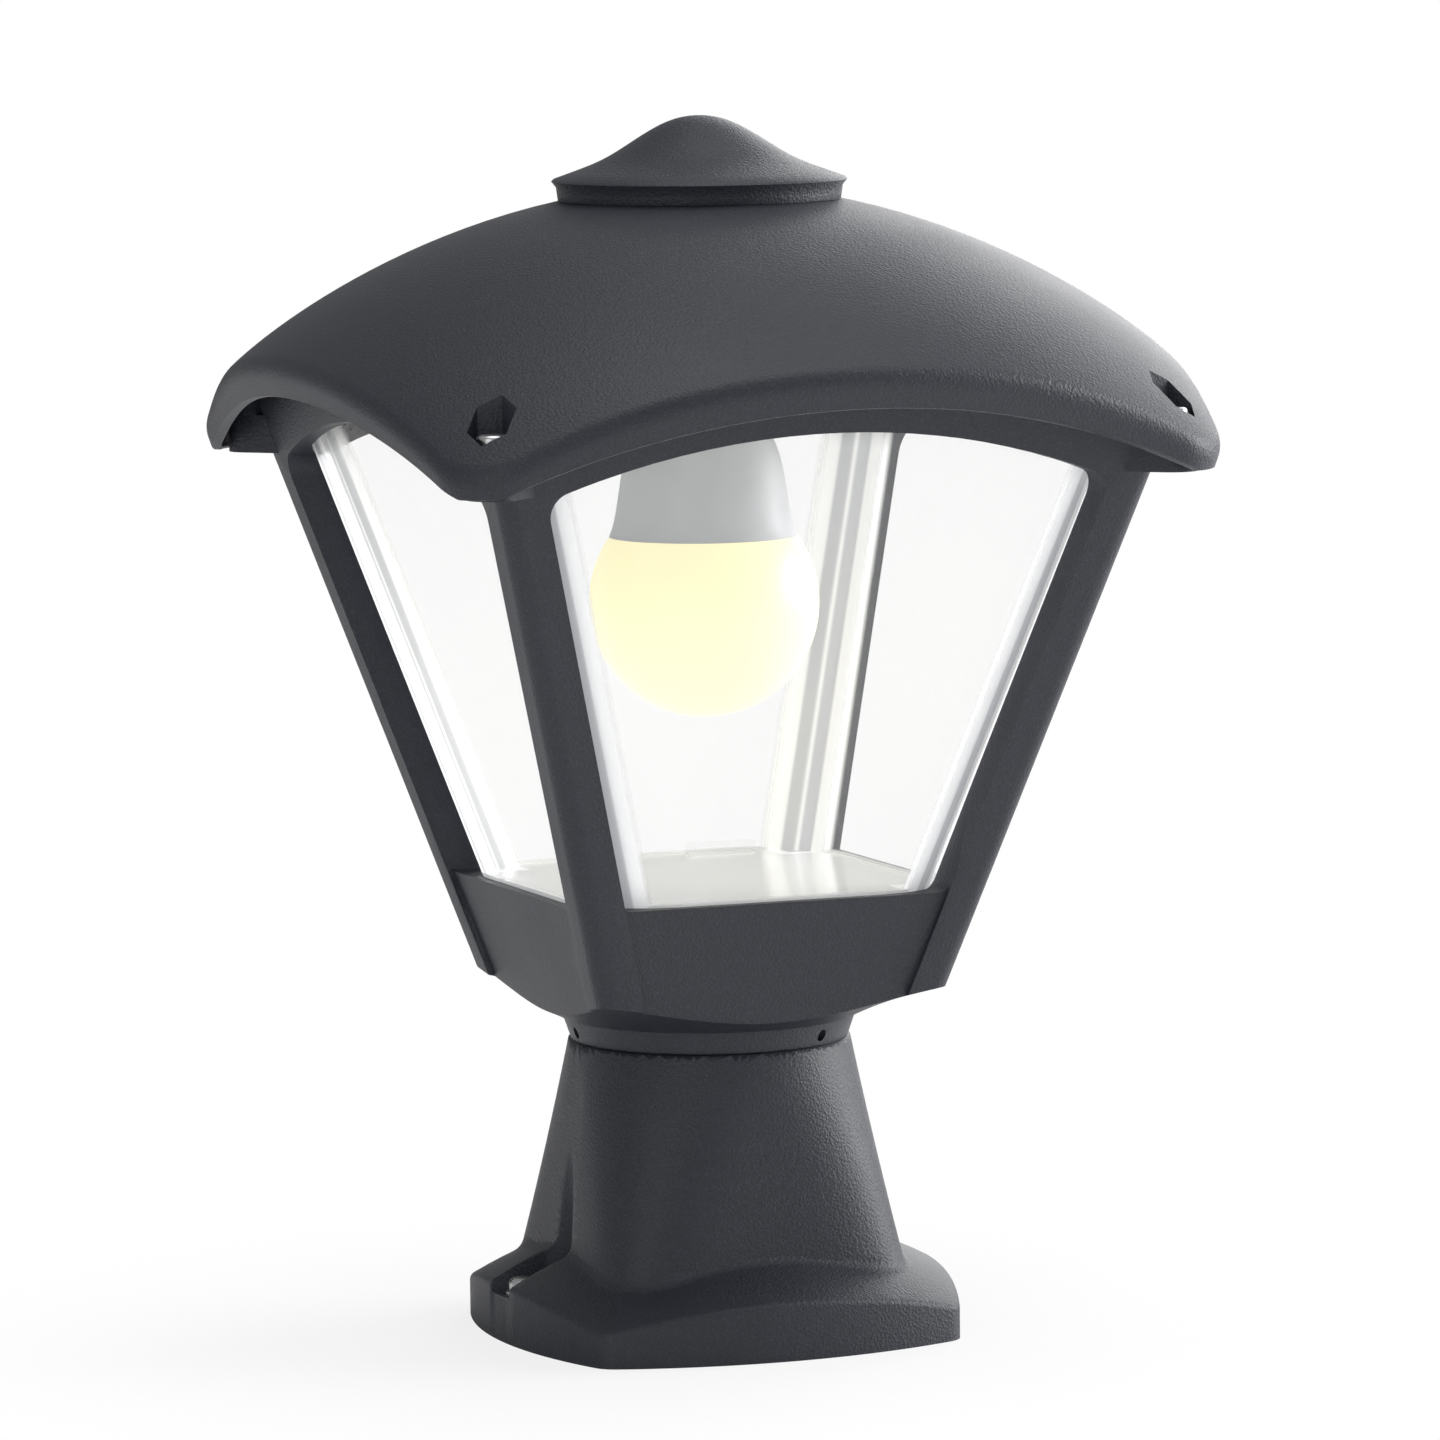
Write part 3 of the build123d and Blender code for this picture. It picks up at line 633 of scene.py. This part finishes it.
def well_places():
    for quarter in range(4):
        turn = np.pi / 4 + quarter * np.pi / 2
        yield WELL_PITCH_RADIUS * np.cos(turn), WELL_PITCH_RADIUS * np.sin(turn), turn


def under_dome(points, inset):
    """Height of the dome over points in the plan, found by halving its share of the reach."""
    angle = np.arctan2(points[:, 1], points[:, 0])
    reach = np.hypot(points[:, 0], points[:, 1])
    share = halved(np.full(angle.shape, 0.3), np.full(angle.shape, 1.1),
                   lambda middle: dome_point(middle, angle, inset)[0] > reach)
    return dome_point(share, angle, inset)[1]


def prism_mesh(name, rings):
    """Closed mesh through stacked hexagons in mm, the first and the last of them filled in."""
    count = len(rings)
    points = np.vstack(rings) * MM
    faces = []
    for ring in range(count - 1):
        for side in range(6):
            a, b = ring * 6 + side, ring * 6 + (side + 1) % 6
            faces.append((a, b, b + 6, a + 6))
    faces.append(tuple(range(5, -1, -1)))
    faces.append(tuple(range((count - 1) * 6, count * 6)))
    mesh = bpy.data.meshes.new(name)
    mesh.from_pydata(points, [], faces)
    return mesh


def level_ring(outline, height):
    heights = np.broadcast_to(height, outline.shape[:1])
    return np.column_stack((outline, heights))


def join_meshes(name, meshes):
    """One mesh that holds all the given ones."""
    made = bmesh.new()
    for mesh in meshes:
        made.from_mesh(mesh)
    joined = bpy.data.meshes.new(name)
    made.to_mesh(joined)
    made.free()
    return joined


def well_cutters():
    rings = []
    for x, y, turn in well_places():
        outline = hexagon(WELL_REACH, x, y, turn)
        rings.append([level_ring(outline, WELL_FLOOR), level_ring(outline, WELL_CUT_TOP)])
    return join_meshes("well_cutters", [prism_mesh("cutter", pair) for pair in rings])


def well_towers():
    """Closed sleeves round the wells, with a floor each, sunk into the middle of the wall."""
    towers = []
    for x, y, turn in well_places():
        outer = hexagon(WELL_REACH + WELL_WALL, x, y, turn)
        inner = hexagon(WELL_REACH + WELL_GAP, x, y, turn)
        towers.append(prism_mesh("tower", [
            level_ring(inner, WELL_FLOOR), level_ring(inner, under_dome(inner, HOOD_WALL / 2)),
            level_ring(outer, under_dome(outer, HOOD_WALL / 2)), level_ring(outer, WELL_LOW)]))
    joined = join_meshes("well_towers", towers)
    joined.flip_normals()
    return joined


def added(name, mesh):
    made = bpy.data.objects.new(name, mesh)
    bpy.context.scene.collection.objects.link(made)
    return made


def cut(mesh, cutter):
    """The mesh less the cutter, by an exact Boolean that is applied at once."""
    body = added("body", mesh)
    tool = added("tool", cutter)
    modifier = body.modifiers.new("cut", "BOOLEAN")
    modifier.operation = "DIFFERENCE"
    modifier.solver = "EXACT"
    modifier.object = tool
    ready = body.evaluated_get(bpy.context.evaluated_depsgraph_get())
    result = bpy.data.meshes.new_from_object(ready)
    bpy.data.objects.remove(body)
    bpy.data.objects.remove(tool)
    return result


def smooth(mesh):
    mesh.shade_smooth()
    mesh.set_sharp_from_angle(angle=SHARP_ANGLE)


def finished(name, mesh, body, slot, *nodes):
    """Makes the piece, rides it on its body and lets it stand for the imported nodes."""
    piece = added(name, mesh)
    mesh.materials.clear()
    mesh.materials.append(FINISHES[slot])
    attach(piece, body)
    if nodes:
        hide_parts(*nodes)
    return piece


class LANTERN_OT_hood(bpy.types.Operator):
    """Makes the domed hood with its rounded arris, arched lips and four screw wells"""

    bl_idname = "lantern.hood"
    bl_label = "Hood"

    def execute(self, context):
        grid = hood_grid(HOOD_COLUMNS, sizes().arris / MM)
        skin = cut(rings_to_mesh("hood_skin", grid), well_cutters())
        if len(skin.polygons) < grid.shape[0] * grid.shape[1] * 0.8:
            raise RuntimeError("the hood's wells could not be cut")
        mesh = join_meshes("hood_shell", [skin, well_towers()])
        smooth(mesh)
        finished("hood_shell", mesh, "hood_body", "anthracite", "hood")
        return {"FINISHED"}


# ---- softened mouldings --------------------------------------------------------------
COLUMN_LOW = 16.0
COLUMN_HIGH = 76.5
COLUMN_HALF = 40.0
COLUMN_INNER_REACH = 34.0
FACE_LEAN = 0.083         # how far the column's faces lean in for each unit up
CORNER_LEAN = 0.2         # what its corners lean in beyond that
SLOT_HALF = 6.7
FILLET_TOP = 22.0         # the foot's fillet ends below this height
SHARP_ANGLE = np.radians(35.0)
BEVEL_ANGLE = np.radians(38.0)


def packed_copy(node):
    """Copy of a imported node's mesh in the shared frame, its doubled points merged."""
    source = NODES[node]
    made = bmesh.new()
    made.from_mesh(source.data)
    made.transform(source.matrix_world)
    bmesh.ops.remove_doubles(made, verts=made.verts, dist=0.002 * MM)
    bmesh.ops.recalc_face_normals(made, faces=made.faces)
    mesh = bpy.data.meshes.new(node + "_soft")
    made.to_mesh(mesh)
    made.free()
    return mesh


def soften(piece, width):
    """Rounds the sharp edges, as a mould leaves them."""
    bevel = piece.modifiers.new("soft_edges", "BEVEL")
    bevel.width = width
    bevel.segments = 3
    bevel.limit_method = "ANGLE"
    bevel.angle_limit = BEVEL_ANGLE
    bevel.use_clamp_overlap = True
    bevel.harden_normals = False


def column_normals(points):
    """Normals of the column: squarish near the foot, round at the neck, leaning in upwards."""
    x, y, z = points.T
    rise = np.clip((z - COLUMN_LOW) / (COLUMN_HIGH - COLUMN_LOW), 0, 1)
    power = 2 + 3.2 * (1 - rise) ** 1.4
    across = np.sign(x) * np.abs(x / COLUMN_HALF) ** (power - 1)
    along = np.sign(y) * np.abs(y / COLUMN_HALF) ** (power - 1)
    length = np.hypot(across, along)
    cornerness = (2 * x * y / (x**2 + y**2)) ** 2
    lean = FACE_LEAN + CORNER_LEAN * cornerness
    normals = np.column_stack((across / length, along / length, lean))
    return normals / np.linalg.norm(normals, axis=1)[:, None]


def smooth_column(mesh):
    """Gives the column's outside faces the normals of its smooth form."""
    corners = np.array([loop.vertex_index for loop in mesh.loops])
    places = np.empty(len(mesh.vertices) * 3)
    mesh.vertices.foreach_get("co", places)
    points = places.reshape(-1, 3)[corners] / MM
    own = np.array([tuple(corner.vector) for corner in mesh.corner_normals])
    faces = np.repeat(np.arange(len(mesh.polygons)), [face.loop_total for face in mesh.polygons])
    centres = np.array([tuple(face.center) for face in mesh.polygons])[faces] / MM
    flat = np.array([tuple(face.normal) for face in mesh.polygons])[faces]
    reach = np.hypot(centres[:, 0], centres[:, 1])
    outward = (flat[:, :2] * centres[:, :2]).sum(1) / reach
    beside_slot = np.abs(centres[:, 1]) > SLOT_HALF
    shape = column_normals(points)
    agrees = (shape * flat).sum(1) > 0.9
    on_column = (centres[:, 2] > FILLET_TOP) & (centres[:, 2] < COLUMN_HIGH - 1)
    outside = (outward > 0.7) & (reach > COLUMN_INNER_REACH)
    chosen = on_column & outside & agrees & beside_slot
    mixed = np.where(chosen[:, None], shape, own)
    mesh.normals_split_custom_set(mixed.tolist())


ROUNDED = (("lantern_frame", "head_body", 0.9 * MM), ("finial_cap", "hood_body", 0.5 * MM))


class LANTERN_OT_mouldings(bpy.types.Operator):
    """Rounds the edges of the lantern head and the finial, and smooths the pedestal's shading"""

    bl_idname = "lantern.mouldings"
    bl_label = "Mouldings"

    def execute(self, context):
        for node, body, rounding in ROUNDED:
            mesh = packed_copy(node)
            smooth(mesh)
            soften(finished(node + "_soft", mesh, body, "anthracite", node), rounding)
        pedestal = packed_copy("pedestal")
        smooth(pedestal)
        smooth_column(pedestal)
        finished("pedestal_soft", pedestal, "foot_body", "anthracite", "pedestal")
        return {"FINISHED"}


class LANTERN_PT_panel(bpy.types.Panel):
    """Lists the lantern's sizes, colours and steps"""

    bl_idname = "LANTERN_PT_panel"
    bl_label = "Lantern"
    bl_space_type = "VIEW_3D"
    bl_region_type = "UI"
    bl_category = "Lantern"

    def draw(self, context):
        for group in (context.scene.lantern_sizes, context.scene.lantern_colours):
            for name in group.bl_rna.properties.keys():
                if name not in ("rna_type", "name"):
                    self.layout.prop(group, name)
        for step in STEPS:
            self.layout.operator(step.bl_idname)


STEPS = (LANTERN_OT_stage, LANTERN_OT_finishes, LANTERN_OT_hood, LANTERN_OT_mouldings)
CLASSES = (LanternColours, LanternSizes, *STEPS, LANTERN_PT_panel)


def register():
    for kind in CLASSES:
        bpy.utils.register_class(kind)
    bpy.types.Scene.lantern_colours = bpy.props.PointerProperty(type=LanternColours)
    bpy.types.Scene.lantern_sizes = bpy.props.PointerProperty(type=LanternSizes)


def unregister():
    del bpy.types.Scene.lantern_sizes
    del bpy.types.Scene.lantern_colours
    for kind in reversed(CLASSES):
        bpy.utils.unregister_class(kind)


def main():
    register()
    for step in STEPS:
        group, name = step.bl_idname.split(".")
        getattr(getattr(bpy.ops, group), name)()


if __name__ == "__main__":
    main()
